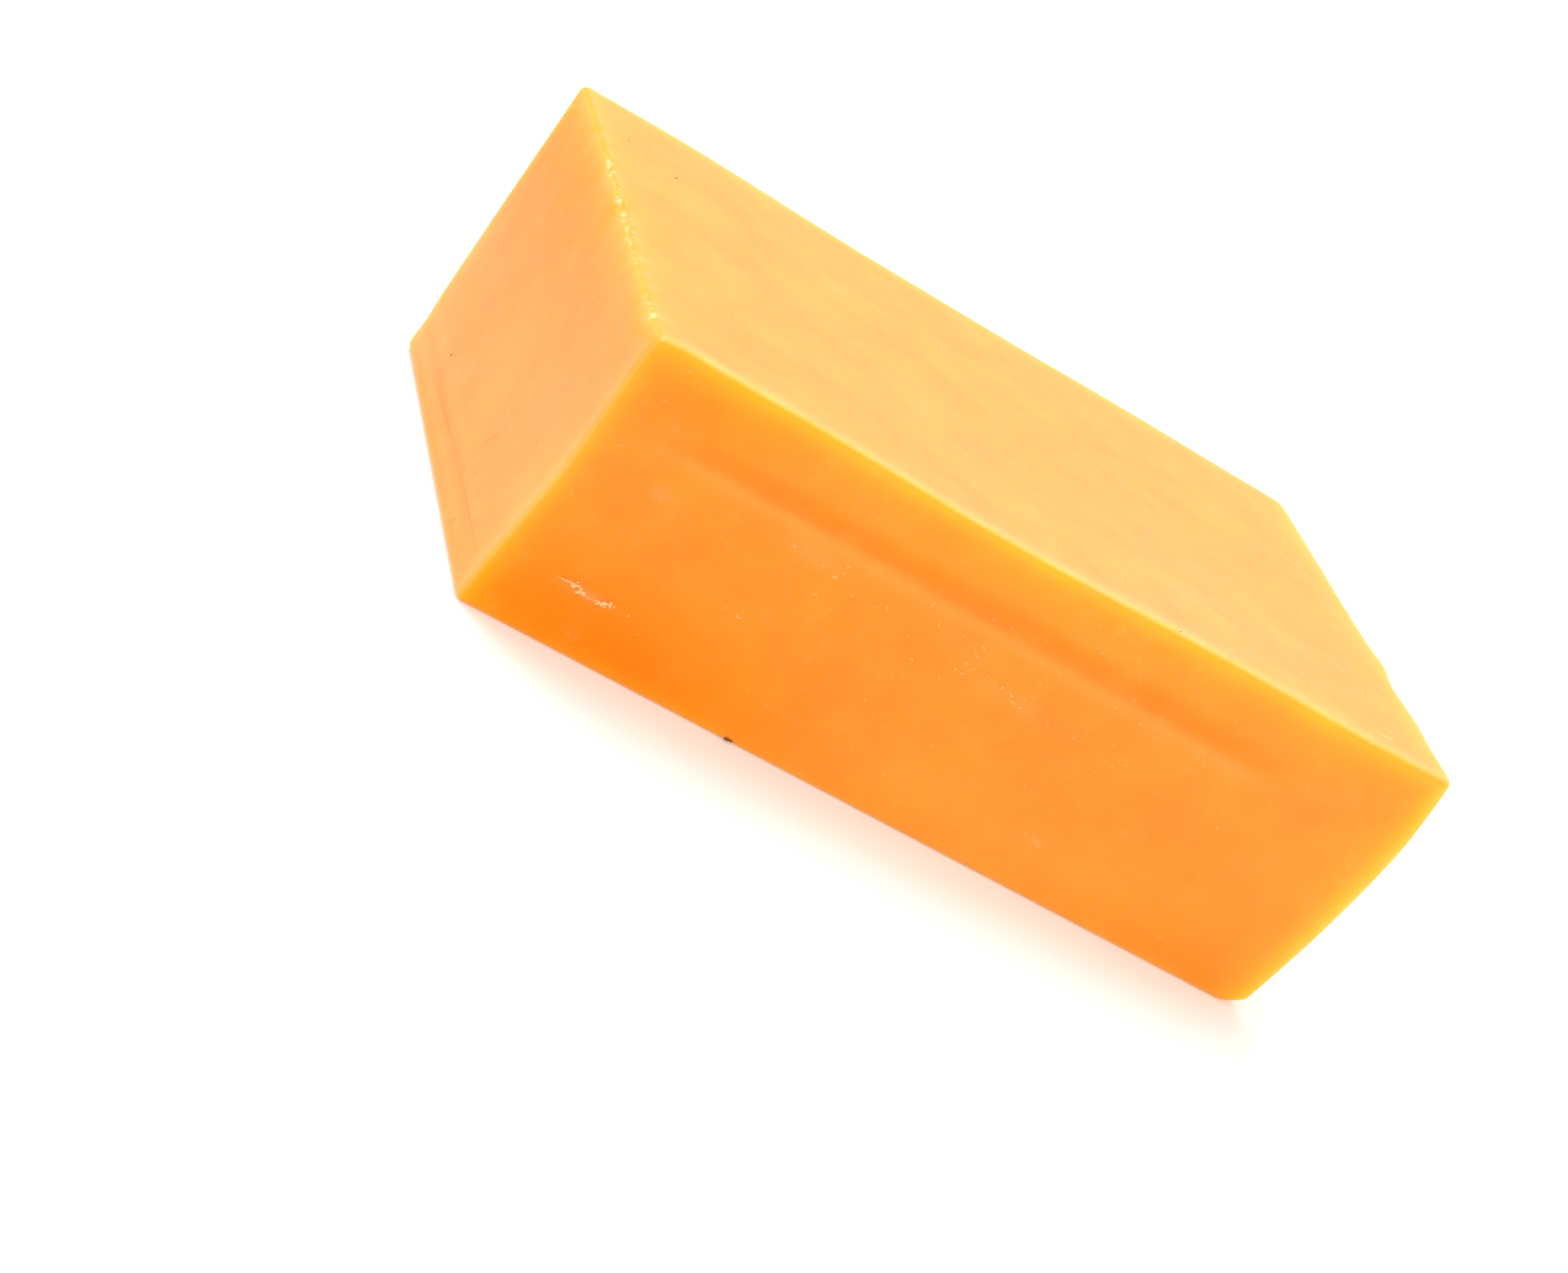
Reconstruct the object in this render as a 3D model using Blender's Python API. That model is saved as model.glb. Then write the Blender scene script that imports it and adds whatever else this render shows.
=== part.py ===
"""A small block of firm cheese, cut by wire from a bigger one.

It lies on its large bottom face with its length along X and its front side towards -Y.
The front side leans out towards the top and the other faces are square to the bottom.
Places on the block are given as (along, across, up): along from the left end, across from
the front side's bottom edge, and up from the bottom face.
"""

import math

import bmesh
import bpy
from mathutils import Vector, noise

# The cut block
LENGTH = 0.1005
BASE_WIDTH = 0.0626
THICKNESS = 0.0358
FRONT_LEAN = 0.0065
EDGE_RADIUS = 0.0009

# The grid of cells on its surface
CELLS_ALONG = 28
CELLS_ACROSS = 30
CELLS_UP = 12
CELLS_ON_EDGE = 3
FACE_SKIN = 0.0015

# Waves that the wire left on every face but the bottom
WAVE_HEIGHT = 0.00012
WAVE_LENGTH = 0.021

# Top face: a broad hollow that fades towards the back, and a low rise at its back left corner
HOLLOW_ALONG = 0.042
HOLLOW_REACH = 0.018
HOLLOW_DEPTH = 0.0005
HOLLOW_FADE = 0.9
RISE_ALONG = 0.010
RISE_REACH = 0.020
RISE_HEIGHT = 0.0005
LEFT_TALLER = 0.0001

# Front side: a long crease below its top edge, with a steep lower lip
CREASE_UP = 0.0266
CREASE_DEPTH = 0.00035
CREASE_UPPER_REACH = 0.0032
CREASE_LIP_REACH = 0.0009
CREASE_START = 0.002
CREASE_END = 0.080
CREASE_FADE = 0.012

# Front side beside its top right corner: drawn in, so that the top edge bends back there
DRAWN_IN = 0.0010
DRAWN_ALONG = 0.012
DRAWN_UP = 0.010

# Left end: it stands out beside the front top corner, with a fold near its bottom edge
SHOULDER_OUT = 0.0006
SHOULDER_ACROSS = 0.002
SHOULDER_REACH = (0.021, 0.008)
LEFT_DISH_DEPTH = 0.0003
FOLD_UP = 0.0040
FOLD_REACH = 0.0016
FOLD_DEPTH = 0.0003
FOLD_FADE = 0.6

# Right end: its front edge is full in the middle, and its top edge is stepped
BELLY_OUT = 0.0010
BELLY_DRAWN_IN = 0.0005
STEP_ACROSS = (0.0214, 0.0145, 0.0066)
STEP_OUT = (0.0006, -0.0005, 0.0003)
STEP_REACH = 0.0026

# Crumbled edge between the left end and the top face
CRUMBLE_REACH = 0.0034
CRUMBLE_DEPTH = 0.0005
CRUMBLE_FADE = 0.008
CHIP_ACROSS = (0.0385, 0.0270, 0.0195, 0.0020)
CHIP_DEPTH = (0.0004, 0.0008, 0.0002, 0.0003)
CHIP_REACH = 0.0028

# Blunt top corners as (along, across, depth), and how far each one's rounding reaches
BLUNT_CORNERS = (
    (0.0, -FRONT_LEAN, 0.0004),
    (LENGTH, -FRONT_LEAN, 0.0005),
    (LENGTH, BASE_WIDTH, 0.0004),
)
BLUNT_REACH = 0.0040

# Bottom corner at the front right, pressed flat where the block once stood on it
FLAT_DEPTH = 0.0018
FLAT_FACING = (0.545, -0.140, -0.827)

CHEESE_COLOUR = (0.93, 0.36, 0.07, 1.0)
CHEESE_ROUGHNESS = 0.42


def clear_scene():
    for obj in list(bpy.data.objects):
        bpy.data.objects.remove(obj, do_unlink=True)


def hump(distance, reach):
    """1 at no distance, falling smoothly to nearly 0 at twice the reach."""
    return math.exp(-((distance / reach) ** 2))


def ramp(value, start, end):
    """0 up to start, 1 from end on, with a smooth rise between them."""
    share = min(1.0, max(0.0, (value - start) / (end - start)))
    return share * share * (3.0 - 2.0 * share)


def grid_lines(size, cells):
    """Places along one side: equal angles round its two edges, even cells between them."""
    turns = [math.pi / 4 * (1.0 - step / CELLS_ON_EDGE) for step in range(CELLS_ON_EDGE)]
    edge = [EDGE_RADIUS * (1.0 - math.tan(turn)) for turn in turns]
    run = size - 2.0 * EDGE_RADIUS
    flat = [EDGE_RADIUS + run * cell / cells for cell in range(cells + 1)]
    return edge + flat + [size - place for place in reversed(edge)]


def rounded(place, size):
    """The place moved from the sharp box onto the box with round edges."""
    core = [min(max(c, EDGE_RADIUS), s - EDGE_RADIUS) for c, s in zip(place, size)]
    outward = Vector(place) - Vector(core)
    return Vector(core) + outward.normalized() * EDGE_RADIUS


def top_rise(along, across):
    """How far the top face stands above its plane."""
    back = ramp(across, 0.0, BASE_WIDTH)
    hollow = HOLLOW_DEPTH * hump(along - HOLLOW_ALONG, HOLLOW_REACH) * (1.0 - HOLLOW_FADE * back)
    rise = RISE_HEIGHT * hump(along - RISE_ALONG, RISE_REACH) * back
    return rise - hollow + LEFT_TALLER * (0.5 - along / LENGTH)


def front_rise(along, up):
    """How far the front side stands out of its plane: the crease is cut into it."""
    over = up - CREASE_UP
    reach = CREASE_UPPER_REACH if over > 0.0 else CREASE_LIP_REACH
    starts = ramp(along, CREASE_START, CREASE_START + CREASE_FADE)
    ends = 1.0 - ramp(along, CREASE_END - CREASE_FADE, CREASE_END)
    drawn = ramp(along, LENGTH - DRAWN_ALONG, LENGTH) * ramp(up, THICKNESS - DRAWN_UP, THICKNESS)
    return -CREASE_DEPTH * hump(over, reach) * starts * ends - DRAWN_IN * drawn


def left_rise(across, up):
    """How far the left end stands out of its plane."""
    reach_across, reach_up = SHOULDER_REACH
    shoulder = hump(across - SHOULDER_ACROSS, reach_across) * hump(THICKNESS - up, reach_up)
    dish = hump(across, reach_across) * hump(up - THICKNESS / 2, reach_up)
    fold = hump(up - FOLD_UP, FOLD_REACH) * ramp(across, 0.0, reach_across)
    fold *= 1.0 - FOLD_FADE * ramp(across, BASE_WIDTH / 2, BASE_WIDTH)
    return SHOULDER_OUT * shoulder - LEFT_DISH_DEPTH * dish - FOLD_DEPTH * fold


def right_rise(across, up):
    """How far the right end stands out of its plane."""
    middle = math.sin(math.pi * up / THICKNESS)
    front = 1.0 - ramp(across, 0.0, BASE_WIDTH)
    belly = (BELLY_OUT * middle - BELLY_DRAWN_IN) * front
    top = ramp(up, THICKNESS - STEP_REACH, THICKNESS)
    steps = sum(
        out * hump(across - place, STEP_REACH) for place, out in zip(STEP_ACROSS, STEP_OUT)
    )
    return belly + steps * top


def crumbled(along, across, up):
    """How far the edge between the left end and the top face has crumbled away."""
    away = math.hypot(along, THICKNESS - up)
    worn = max(0.0, 1.0 - away / CRUMBLE_REACH) ** 2
    grain = 0.5 + 0.5 * noise.noise(Vector((0.0, across / CHIP_REACH, 0.0)))
    chips = sum(
        depth * hump(across - place, CHIP_REACH)
        for place, depth in zip(CHIP_ACROSS, CHIP_DEPTH)
    )
    worn *= 1.0 - ramp(across, BASE_WIDTH - CRUMBLE_FADE, BASE_WIDTH)
    return (CRUMBLE_DEPTH * grain + chips) * worn


def surface_point(place):
    """The finished block's point for a place on the sharp box."""
    point = rounded(place, (LENGTH, BASE_WIDTH, THICKNESS))
    along, across, up = point
    near_top = hump(THICKNESS - up, FACE_SKIN)
    near_front = hump(across, FACE_SKIN)
    near_back = hump(BASE_WIDTH - across, FACE_SKIN)
    near_left = hump(along, FACE_SKIN)
    near_right = hump(LENGTH - along, FACE_SKIN)

    across -= FRONT_LEAN * (up / THICKNESS) * (1.0 - across / BASE_WIDTH)
    point.y = across - front_rise(along, up) * near_front
    point.z += top_rise(along, across) * near_top
    point.x += right_rise(across, up) * near_right - left_rise(across, up) * near_left

    # The waves fade out towards the bottom face, which stays flat
    wave = WAVE_HEIGHT * noise.noise(Vector((along, across, up)) / WAVE_LENGTH)
    wave *= ramp(up, 0.0, THICKNESS / 2)
    point += wave * Vector((near_right - near_left, near_back - near_front, near_top))

    inward = Vector((1.0, 0.0, -1.0)).normalized()
    point += crumbled(along, across, up) * inward

    centre = Vector((LENGTH / 2, BASE_WIDTH / 2, THICKNESS / 2))
    for corner_along, corner_across, depth in BLUNT_CORNERS:
        corner = Vector((corner_along, corner_across, THICKNESS))
        near = max(0.0, 1.0 - (point - corner).length / BLUNT_REACH) ** 2
        point += (centre - corner).normalized() * depth * near
    return point


def cell_corners(counts):
    """The four grid corners of each cell on the six sides, turned to face out."""
    for axis in range(3):
        first = (axis + 1) % 3
        second = (axis + 2) % 3
        for end in (0, counts[axis] - 1):
            for i in range(counts[first] - 1):
                for j in range(counts[second] - 1):
                    corners = []
                    for step_i, step_j in ((0, 0), (1, 0), (1, 1), (0, 1)):
                        corner = [end, end, end]
                        corner[first] = i + step_i
                        corner[second] = j + step_j
                        corners.append(tuple(corner))
                    yield corners if end else corners[::-1]


def flatten_corner(mesh):
    """Cuts off the front right bottom corner and closes the cut with a flat face."""
    facing = Vector(FLAT_FACING).normalized()
    corner = Vector((LENGTH, 0.0, 0.0))
    geometry = mesh.verts[:] + mesh.edges[:] + mesh.faces[:]
    cut = bmesh.ops.bisect_plane(
        mesh,
        geom=geometry,
        plane_co=corner - facing * FLAT_DEPTH,
        plane_no=facing,
        clear_outer=True,
    )
    rim = [item for item in cut["geom_cut"] if isinstance(item, bmesh.types.BMEdge)]
    bmesh.ops.edgeloop_fill(mesh, edges=rim)


def stand_on_origin(mesh):
    """Moves the block so that the middle of its box is above the origin and z = 0 is its bottom."""
    lows = [min(vert.co[axis] for vert in mesh.verts) for axis in range(3)]
    highs = [max(vert.co[axis] for vert in mesh.verts) for axis in range(3)]
    shift = Vector((-(lows[0] + highs[0]) / 2, -(lows[1] + highs[1]) / 2, -lows[2]))
    bmesh.ops.translate(mesh, vec=shift, verts=mesh.verts[:])


def cheese_material():
    material = bpy.data.materials.new("orange_cheese")
    material.use_nodes = True
    shader = material.node_tree.nodes["Principled BSDF"]
    shader.inputs["Base Color"].default_value = CHEESE_COLOUR
    shader.inputs["Roughness"].default_value = CHEESE_ROUGHNESS
    shader.inputs["Metallic"].default_value = 0.0
    material.diffuse_color = CHEESE_COLOUR
    return material


def make_block():
    lines = [
        grid_lines(LENGTH, CELLS_ALONG),
        grid_lines(BASE_WIDTH, CELLS_ACROSS),
        grid_lines(THICKNESS, CELLS_UP),
    ]
    mesh = bmesh.new()
    verts = {}
    for corners in cell_corners([len(places) for places in lines]):
        for corner in corners:
            if corner not in verts:
                place = [places[index] for places, index in zip(lines, corner)]
                verts[corner] = mesh.verts.new(surface_point(place))
        mesh.faces.new([verts[corner] for corner in corners])

    flatten_corner(mesh)
    bmesh.ops.triangulate(mesh, faces=mesh.faces[:])
    stand_on_origin(mesh)

    data = bpy.data.meshes.new("cheese_block")
    mesh.to_mesh(data)
    mesh.free()
    data.materials.append(cheese_material())
    data.shade_smooth()
    block = bpy.data.objects.new("cheese_block", data)
    bpy.context.scene.collection.objects.link(block)


clear_scene()
make_block()
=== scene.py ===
"""Looks of a small block of firm orange cheese: the cut block, its crumbs and its specks.

The block lies on its large bottom face, length along X, front side towards -Y.
Places on it are (along, across, up): along from the left end, across from the front side's
bottom edge, and up from the bottom face.
Lengths are in metres and angles in degrees unless a name or a comment says otherwise.
"""

import math
import random

import bmesh
import bpy
import numpy as np
from mathutils import Euler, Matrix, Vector, noise
from mathutils.bvhtree import BVHTree


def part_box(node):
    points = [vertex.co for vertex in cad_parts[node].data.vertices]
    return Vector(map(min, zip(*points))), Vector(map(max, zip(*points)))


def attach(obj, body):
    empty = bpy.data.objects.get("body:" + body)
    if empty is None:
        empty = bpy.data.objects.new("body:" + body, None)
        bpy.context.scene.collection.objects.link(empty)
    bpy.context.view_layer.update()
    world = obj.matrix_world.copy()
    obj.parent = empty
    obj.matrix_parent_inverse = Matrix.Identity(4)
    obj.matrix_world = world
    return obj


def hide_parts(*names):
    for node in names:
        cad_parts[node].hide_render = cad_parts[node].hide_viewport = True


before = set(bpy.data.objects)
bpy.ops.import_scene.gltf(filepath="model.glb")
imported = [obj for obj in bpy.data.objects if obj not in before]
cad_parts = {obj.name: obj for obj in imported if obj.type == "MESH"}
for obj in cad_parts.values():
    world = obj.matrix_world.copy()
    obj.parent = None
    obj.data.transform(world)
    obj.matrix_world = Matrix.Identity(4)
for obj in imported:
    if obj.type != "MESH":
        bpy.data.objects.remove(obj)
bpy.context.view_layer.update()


# The camera: a 91 mm lens on a 36 mm frame, looking down on the block by 18 degrees and
# rolled about its own axis, so that the block stands on one corner in the picture.

LENS_MM = 90.65
CAMERA_AZIMUTH = -23.735
CAMERA_ELEVATION = 17.953
CAMERA_ROLL = 36.178
CAMERA_DISTANCE = 0.42494
CAMERA_AIM = Vector((-0.00781, -0.00188, 0.00371))

camera_data = bpy.data.cameras.new("camera")
camera_data.lens = LENS_MM
camera_data.sensor_width = 36.0
camera_data.clip_start = 0.01
camera_data.clip_end = 100.0
camera = bpy.data.objects.new("camera", camera_data)
level = Euler((math.radians(90.0 - CAMERA_ELEVATION), 0.0, math.radians(CAMERA_AZIMUTH)))
turn = Euler((0.0, 0.0, math.radians(CAMERA_ROLL))).to_matrix()
facing = level.to_matrix() @ turn
camera.rotation_euler = facing.to_euler()
camera.location = CAMERA_AIM + facing @ Vector((0.0, 0.0, CAMERA_DISTANCE))
bpy.context.scene.collection.objects.link(camera)
bpy.context.scene.camera = camera


# The cheese block: a firm pressed cheese, coloured orange all through, cut by wire on six
# sides. The front side leans out, the wire and the wrapping left shallow waves, a crease and
# folds, and one top edge has crumbled.

LENGTH = 0.1005
BASE_WIDTH = 0.0626
THICKNESS = 0.0358
FRONT_LEAN = 0.0065
EDGE_RADIUS = 0.0009
FACE_SKIN = 0.0015

CELLS_ALONG = 168
CELLS_ACROSS = 118
CELLS_UP = 76
CELLS_ON_EDGE = 5
CROWDING = 0.3

WAVE_HEIGHT = 0.00012
WAVE_LENGTH = 0.021

HOLLOW_ALONG = 0.042
HOLLOW_REACH = 0.018
HOLLOW_DEPTH = 0.0005
HOLLOW_FADE = 0.9
RISE_ALONG = 0.010
RISE_REACH = 0.020
RISE_HEIGHT = 0.0005
LEFT_TALLER = 0.0001

CREASE_UP = 0.0266
CREASE_DEPTH = 0.00035
CREASE_UPPER_REACH = 0.0032
CREASE_LIP_REACH = 0.0009
CREASE_START = 0.002
CREASE_END = 0.080
CREASE_FADE = 0.012

DRAWN_IN = 0.0010
DRAWN_ALONG = 0.012
DRAWN_UP = 0.010

SHOULDER_OUT = 0.0006
SHOULDER_ACROSS = 0.002
SHOULDER_REACH = (0.021, 0.008)
LEFT_DISH_DEPTH = 0.0003
FOLD_UP = 0.0040
FOLD_REACH = 0.0016
FOLD_DEPTH = 0.0003
FOLD_FADE = 0.6

BELLY_OUT = 0.0010
BELLY_DRAWN_IN = 0.0005
STEP_ACROSS = (0.0214, 0.0145, 0.0066)
STEP_OUT = (0.0006, -0.0005, 0.0003)
STEP_REACH = 0.0026

CRUMBLE_REACH = 0.0034
CRUMBLE_DEPTH = 0.0005
CRUMBLE_FADE = 0.008
CHIP_ACROSS = (0.0385, 0.0270, 0.0195, 0.0020)
CHIP_DEPTH = (0.0004, 0.0008, 0.0002, 0.0003)
CHIP_REACH = 0.0028

BLUNT_CORNERS = (
    (0.0, -FRONT_LEAN, 0.0004),
    (LENGTH, -FRONT_LEAN, 0.0005),
    (LENGTH, BASE_WIDTH, 0.0004),
)
BLUNT_REACH = 0.0040

FLAT_DEPTH = 0.0018
FLAT_FACING = Vector((0.545, -0.140, -0.827)).normalized()

# Fine relief on top of these forms: how deep, and how long its grains are each way
DIMPLES = (0.000014, (0.0070, 0.0045, 0.0070))
DRAG_MARKS = (0.000004, (0.0300, 0.0026, 0.0300))
PRESS_MARKS = (0.00004, (0.0030, 0.0030, 0.0045))
CUT_STREAKS = (0.000013, (0.0300, 0.0070, 0.0250))
CRUMBLED = (0.00007, (0.0014, 0.0014, 0.0014))
RIM_WAVE = (0.00025, (0.0080, 0.0080, 0.0080))
RIM_REACH = 0.0015


def hump(distance, reach):
    """1 at no distance, falling smoothly to nearly 0 at twice the reach."""
    return np.exp(-((distance / reach) ** 2))


def ramp(value, start, end):
    """0 up to start, 1 from end on, with a smooth rise between them."""
    share = np.clip((value - start) / (end - start), 0.0, 1.0)
    return share * share * (3.0 - 2.0 * share)


def grain(points, size):
    """Smooth noise from about -1 to 1 at each point, with grains of that size along each axis."""
    scaled = points / np.array(size)
    return np.array([noise.noise(Vector(point)) for point in scaled])


def relief(points, marks):
    """Heights of one kind of fine relief, given as (depth, size of its grains)."""
    depth, size = marks
    return depth * grain(points, size)


def grid_lines(size, cells):
    """Places along one side: equal angles round its two edges, cells that crowd towards them."""
    turns = np.linspace(math.pi / 4, 0.0, CELLS_ON_EDGE, endpoint=False)
    edge = EDGE_RADIUS * (1.0 - np.tan(turns))
    share = np.linspace(0.0, 1.0, cells + 1)
    share = share - CROWDING * np.sin(2 * math.pi * share) / (2 * math.pi)
    flat = EDGE_RADIUS + (size - 2 * EDGE_RADIUS) * share
    return np.concatenate((edge, flat, size - edge[::-1]))


def leaned(across, up):
    """Places across the block once its front side leans out."""
    return across - FRONT_LEAN * (up / THICKNESS) * (1.0 - across / BASE_WIDTH)


def block_surface(places):
    """The finished block's points for places on the sharp box, as (along, across, up) rows."""
    size = np.array((LENGTH, BASE_WIDTH, THICKNESS))
    core = np.clip(places, EDGE_RADIUS, size - EDGE_RADIUS)
    outward = places - core
    outward /= np.linalg.norm(outward, axis=1, keepdims=True)
    points = core + outward * EDGE_RADIUS
    along, across, up = points.T.copy()
    near_top = hump(THICKNESS - up, FACE_SKIN)
    near_front = hump(across, FACE_SKIN)
    near_back = hump(BASE_WIDTH - across, FACE_SKIN)
    near_left = hump(along, FACE_SKIN)
    near_right = hump(LENGTH - along, FACE_SKIN)
    across = leaned(across, up)

    # The top face's broad hollow, which fades towards the back, and its rise at the back left
    back = ramp(across, 0.0, BASE_WIDTH)
    top = -HOLLOW_DEPTH * hump(along - HOLLOW_ALONG, HOLLOW_REACH) * (1.0 - HOLLOW_FADE * back)
    top += RISE_HEIGHT * hump(along - RISE_ALONG, RISE_REACH) * back
    top += LEFT_TALLER * (0.5 - along / LENGTH)
    points[:, 2] += top * near_top

    # The front side's crease, with its steep lower lip, and its drawn in top right corner
    over = up - CREASE_UP
    crease = hump(over, np.where(over > 0.0, CREASE_UPPER_REACH, CREASE_LIP_REACH))
    crease *= ramp(along, CREASE_START, CREASE_START + CREASE_FADE)
    crease *= 1.0 - ramp(along, CREASE_END - CREASE_FADE, CREASE_END)
    drawn = ramp(along, LENGTH - DRAWN_ALONG, LENGTH)
    drawn *= ramp(up, THICKNESS - DRAWN_UP, THICKNESS)
    points[:, 1] = across + (CREASE_DEPTH * crease + DRAWN_IN * drawn) * near_front

    # The left end's shoulder, dish and fold
    reach_across, reach_up = SHOULDER_REACH
    left = SHOULDER_OUT * hump(across - SHOULDER_ACROSS, reach_across)
    left *= hump(THICKNESS - up, reach_up)
    left -= LEFT_DISH_DEPTH * hump(across, reach_across) * hump(up - THICKNESS / 2, reach_up)
    fold = FOLD_DEPTH * hump(up - FOLD_UP, FOLD_REACH) * ramp(across, 0.0, reach_across)
    left -= fold * (1.0 - FOLD_FADE * ramp(across, BASE_WIDTH / 2, BASE_WIDTH))
    points[:, 0] -= left * near_left

    # The right end's full front edge and its stepped top edge
    right = BELLY_OUT * np.sin(math.pi * up / THICKNESS) - BELLY_DRAWN_IN
    right *= 1.0 - ramp(across, 0.0, BASE_WIDTH)
    rim = ramp(up, THICKNESS - STEP_REACH, THICKNESS)
    for place, out in zip(STEP_ACROSS, STEP_OUT):
        right += out * hump(across - place, STEP_REACH) * rim
    points[:, 0] += right * near_right

    # The waves fade out towards the bottom face, which stays flat
    nominal = np.stack((along, across, up), axis=1)
    wave = WAVE_HEIGHT * grain(nominal, (WAVE_LENGTH,) * 3) * ramp(up, 0.0, THICKNESS / 2)
    outward = np.stack((near_right - near_left, near_back - near_front, near_top), axis=1)
    points += wave[:, None] * outward

    # Dimples and drag marks on top, press marks on the long sides, cut streaks on the ends
    points[:, 2] += (relief(nominal, DIMPLES) + relief(nominal, DRAG_MARKS)) * near_top
    points[:, 1] += relief(nominal, PRESS_MARKS) * (near_back - near_front)
    points[:, 0] += relief(nominal, CUT_STREAKS) * (near_right - near_left)
    on_rim = hump(THICKNESS - up, RIM_REACH) * hump(across + FRONT_LEAN, RIM_REACH)
    points[:, 1] += relief(nominal * (1.0, 0.0, 0.0), RIM_WAVE) * on_rim

    # The crumbled edge between the left end and the top face
    away = np.hypot(along, THICKNESS - up)
    worn = np.clip(1.0 - away / CRUMBLE_REACH, 0.0, None) ** 2
    worn *= 1.0 - ramp(across, BASE_WIDTH - CRUMBLE_FADE, BASE_WIDTH)
    by_place = np.stack((np.zeros_like(up), across, np.zeros_like(up)), axis=1)
    lost = CRUMBLE_DEPTH * (0.5 + 0.5 * grain(by_place, (CHIP_REACH,) * 3))
    for place, depth in zip(CHIP_ACROSS, CHIP_DEPTH):
        lost += depth * hump(across - place, CHIP_REACH)
    lost += relief(nominal, CRUMBLED)
    points += (lost * worn)[:, None] * np.array((1.0, 0.0, -1.0)) / math.sqrt(2.0)

    centre = np.array((LENGTH / 2, BASE_WIDTH / 2, THICKNESS / 2))
    for corner_along, corner_across, depth in BLUNT_CORNERS:
        corner = np.array((corner_along, corner_across, THICKNESS))
        distance = np.linalg.norm(points - corner, axis=1)
        near = np.clip(1.0 - distance / BLUNT_REACH, 0.0, None) ** 2
        inward = (centre - corner) / np.linalg.norm(centre - corner)
        points += (depth * near)[:, None] * inward

    # The front right bottom corner is pressed flat
    facing_flat = np.array(FLAT_FACING)
    corner = np.array((LENGTH, 0.0, 0.0))
    beyond = (points - corner) @ facing_flat + FLAT_DEPTH
    points -= np.clip(beyond, 0.0, None)[:, None] * facing_flat
    return points


def lattice(lines):
    """The places on the six sides of a lattice, and its cells as four corners facing out."""
    counts = [len(places) for places in lines]
    inner = np.zeros(counts, bool)
    inner[1:-1, 1:-1, 1:-1] = True
    index = np.argwhere(~inner)
    number = np.full(counts, -1)
    number[~inner] = np.arange(len(index))
    places = np.stack([lines[axis][index[:, axis]] for axis in range(3)], axis=1)
    cells = []
    for axis in range(3):
        layers = np.moveaxis(number, axis, 0)
        for end in (0, -1):
            layer = layers[end]
            corners = (layer[:-1, :-1], layer[1:, :-1], layer[1:, 1:], layer[:-1, 1:])
            quads = np.stack([corner.ravel() for corner in corners], axis=1)
            turned = (end == 0) != (axis == 1)
            cells.append(quads[:, ::-1] if turned else quads)
    return places, np.concatenate(cells)


places, cells = lattice(
    (
        grid_lines(LENGTH, CELLS_ALONG),
        grid_lines(BASE_WIDTH, CELLS_ACROSS),
        grid_lines(THICKNESS, CELLS_UP),
    )
)
points = block_surface(places)

# The fine surface is moved and fitted to the box that the frame gives for the block
box_low, box_high = (np.array(corner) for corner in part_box("cheese_block"))
fine_low = points.min(axis=0)
box_scale = (box_high - box_low) / (points.max(axis=0) - fine_low)


def on_frame(block_points):
    """Points of the block moved into the shared frame."""
    return box_low + (block_points - fine_low) * box_scale


block_points = on_frame(points)
block_mesh = bpy.data.meshes.new("block_surface")
block_mesh.from_pydata(block_points.tolist(), [], cells.tolist())
block_mesh.shade_smooth()
block = bpy.data.objects.new("block_surface", block_mesh)
bpy.context.scene.collection.objects.link(block)

# Bands beside the edges, as (face, edge): (strength, reach). The glow bands are painted light:
# yellow is painted into the colour where light shows through a few millimetres of cheese.
# The pale rim bands make the very edge pale, partly as dried cheese and partly as a painted
# highlight along the rounded edge.
PAINTED_GLOW_BANDS = {
    ("front", "top"): (0.49, 0.0027),
    ("front", "left"): (0.30, 0.0019),
    ("front", "right"): (0.85, 0.0023),
    ("front", "bottom"): (0.20, 0.0010),
    ("top", "front"): (0.08, 0.0010),
    ("top", "left"): (0.18, 0.0036),
    ("top", "right"): (0.55, 0.0024),
    ("top", "back"): (0.55, 0.0014),
    ("left", "top"): (0.34, 0.0028),
    ("left", "front"): (0.16, 0.0045),
    ("left", "back"): (0.45, 0.0014),
    ("left", "bottom"): (0.25, 0.0009),
}
OTHER_GLOW = (0.28, 0.0014)
PALE_RIM_BANDS = {
    ("top", "front"): (0.40, 0.0009),
    ("front", "top"): (0.0, 0.0004),
    ("front", "left"): (0.0, 0.0004),
    ("front", "right"): (0.20, 0.0006),
    ("front", "bottom"): (0.06, 0.0004),
    ("left", "front"): (0.20, 0.0018),
    ("top", "left"): (0.14, 0.0008),
    ("left", "top"): (0.26, 0.0008),
    ("top", "right"): (0.50, 0.0004),
}
OTHER_PALE_RIM = (0.36, 0.0004)
# The pale rim bands, partly dried cheese and partly painted highlight, are strongest a little
# inside the edge, and stop sooner at it than the glow
PALE_RIM_START = 0.0004
PALE_RIM_FALL = 3
THIN_EDGE_REACH = 0.0016

# Noise that breaks up what is painted: the size of its grains, and the share that it takes
FINE_GRAIN = 0.0009
PATCH_GRAIN = 0.0040
GLOW_GRAIN = 0.0050
GLOW_UNEVEN = 0.30
RUBBED_UNEVEN = 0.60
LIP_HIGHLIGHT_UNEVEN = 0.50
CREASE_SHADE_UNEVEN = 0.57
PALE_RIM_UNEVEN = (0.30, 0.40)

# Rubbed spots on the front side in millimetres: (along, up, reach along, reach up, strength)
RUBBED_SPOTS_MM = (
    (26.4, 23.6, 3.6, 1.3, 0.09),
    (9.8, 21.1, 1.0, 0.8, 0.12),
    (47.0, 22.5, 6.0, 1.6, 0.02),
    (54.0, 19.8, 4.5, 1.0, 0.06),
    (66.9, 6.8, 1.3, 0.4, 0.12),
    (10.6, 7.5, 2.4, 0.5, 0.20),
)
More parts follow.
